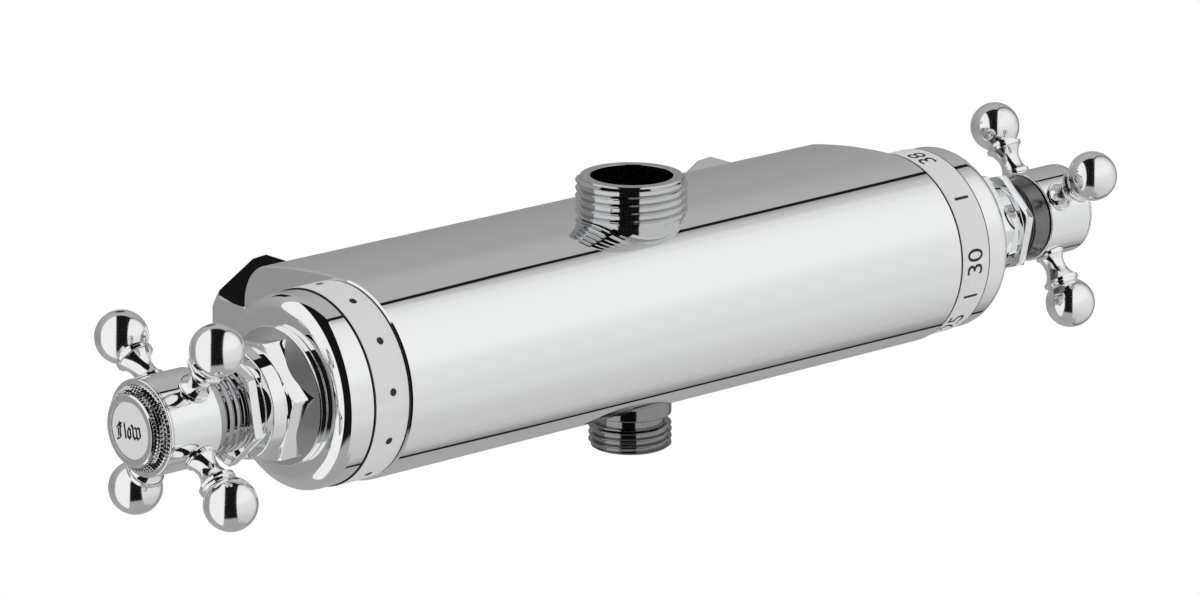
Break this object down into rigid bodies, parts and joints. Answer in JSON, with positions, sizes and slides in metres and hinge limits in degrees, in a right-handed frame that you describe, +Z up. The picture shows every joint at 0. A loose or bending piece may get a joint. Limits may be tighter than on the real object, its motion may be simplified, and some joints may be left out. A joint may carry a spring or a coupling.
{
  "type": "shower mixer",
  "caption": "Wall-mounted bar shower mixer with cross handles at both ends, graduated rings, a threaded outlet above and one below, and two union nuts behind.",
  "frame": {"origin": "midway between the two wall connections, in the plane of the union nuts' open ends", "axes": "+X along the bar towards the temperature handle, +Y into the wall, +Z up along the outlets"},
  "size_m": [0.3152, 0.0817, 0.0698],
  "materials": {
    "polished_chrome": "polished",
    "satin_chrome": "satin",
    "grey_collar": "satin",
    "enamel": "gloss",
    "brass": "machined",
    "ceramic": "lapped",
    "rubber": "moulded",
    "steel": "drawn",
    "moulded_plastic": "moulded",
    "copper": "drawn"
  },
  "bodies": {
    "mixer": {"body": "polished_chrome", "flow_end_cap": "polished_chrome", "temperature_end_cap": "polished_chrome", "flow_bonnet": "polished_chrome", "temperature_bonnet": "polished_chrome", "flow_lock_nut": "polished_chrome", "temperature_lock_nut": "polished_chrome", "flow_stop_collar": "polished_chrome", "top_outlet": "polished_chrome", "bottom_outlet": "polished_chrome", "flow_ring": "satin_chrome", "temperature_ring": "satin_chrome", "temperature_stop_collar": "grey_collar", "flow_cartridge_housing": "brass", "temperature_sleeve": "brass", "temperature_gland": "brass", "hot_inlet_tail": "brass", "cold_inlet_tail": "brass", "flow_fixed_disc": "ceramic", "flow_seat_gasket": "rubber", "temperature_sleeve_o_rings": "rubber", "top_outlet_o_ring": "rubber", "bottom_outlet_o_ring": "rubber", "hot_inlet_washer": "rubber", "cold_inlet_washer": "rubber", "return_spring": "steel", "hot_check_valve_spring": "steel", "cold_check_valve_spring": "steel", "hot_check_valve_body": "moulded_plastic", "cold_check_valve_body": "moulded_plastic"},
    "flow_handle": {"flow_hub": "polished_chrome", "flow_arm_1": "polished_chrome", "flow_arm_2": "polished_chrome", "flow_arm_3": "polished_chrome", "flow_arm_4": "polished_chrome", "flow_spindle": "brass", "flow_moving_disc": "ceramic", "flow_spindle_o_rings": "rubber", "flow_hub_screw": "steel", "flow_index_cap": "polished_chrome", "flow_index_disc": "enamel"},
    "temperature_handle": {"temperature_hub": "polished_chrome", "temperature_arm_1": "polished_chrome", "temperature_arm_2": "polished_chrome", "temperature_arm_3": "polished_chrome", "temperature_arm_4": "polished_chrome", "temperature_spindle": "brass", "temperature_spindle_o_rings": "rubber", "temperature_hub_screw": "steel", "temperature_index_cap": "polished_chrome", "temperature_index_disc": "enamel"},
    "regulator": {"temperature_slide": "moulded_plastic", "wax_element": "copper", "overload_carrier": "brass", "overload_piston_cap": "brass", "overload_spring": "steel"},
    "hot_union": {"hot_union_nut": "polished_chrome"},
    "cold_union": {"cold_union_nut": "polished_chrome"},
    "hot_poppet": {"hot_check_valve_poppet": "moulded_plastic"},
    "cold_poppet": {"cold_check_valve_poppet": "moulded_plastic"}
  },
  "joints": [
    {"name": "flow_turn", "type": "hinge", "parent": "mixer", "child": "flow_handle", "pos_m": [-0.1439, -0.054, 0], "axis": [-1, 0, 0], "range_deg": [-90, 90]},
    {"name": "temperature_turn", "type": "hinge", "parent": "mixer", "child": "temperature_handle", "pos_m": [0.1439, -0.054, 0], "axis": [1, 0, 0], "range_deg": [-135, 135]},
    {"name": "regulator_slide", "type": "slide", "parent": "mixer", "child": "regulator", "axis": [1, 0, 0], "range_m": [-0.00095, 0.00095], "deforming": ["return_spring"]},
    {"name": "hot_union_turn", "type": "hinge", "parent": "mixer", "child": "hot_union", "pos_m": [-0.075, -0.0134, 0], "axis": [0, 1, 0], "continuous": true},
    {"name": "hot_check_lift", "type": "slide", "parent": "mixer", "child": "hot_poppet", "axis": [0, -1, 0], "range_m": [0, 0.0025], "stiffness_N_per_m": 60, "springref_m": -0.002, "deforming": ["hot_check_valve_spring"]},
    {"name": "cold_union_turn", "type": "hinge", "parent": "mixer", "child": "cold_union", "pos_m": [0.075, -0.0134, 0], "axis": [0, 1, 0], "continuous": true},
    {"name": "cold_check_lift", "type": "slide", "parent": "mixer", "child": "cold_poppet", "axis": [0, -1, 0], "range_m": [0, 0.0025], "stiffness_N_per_m": 60, "springref_m": -0.002, "deforming": ["cold_check_valve_spring"]}
  ],
  "couplings": [
    {"joint": "regulator_slide", "follows": "temperature_turn", "m_per_rad": 0.00039789}
  ]
}
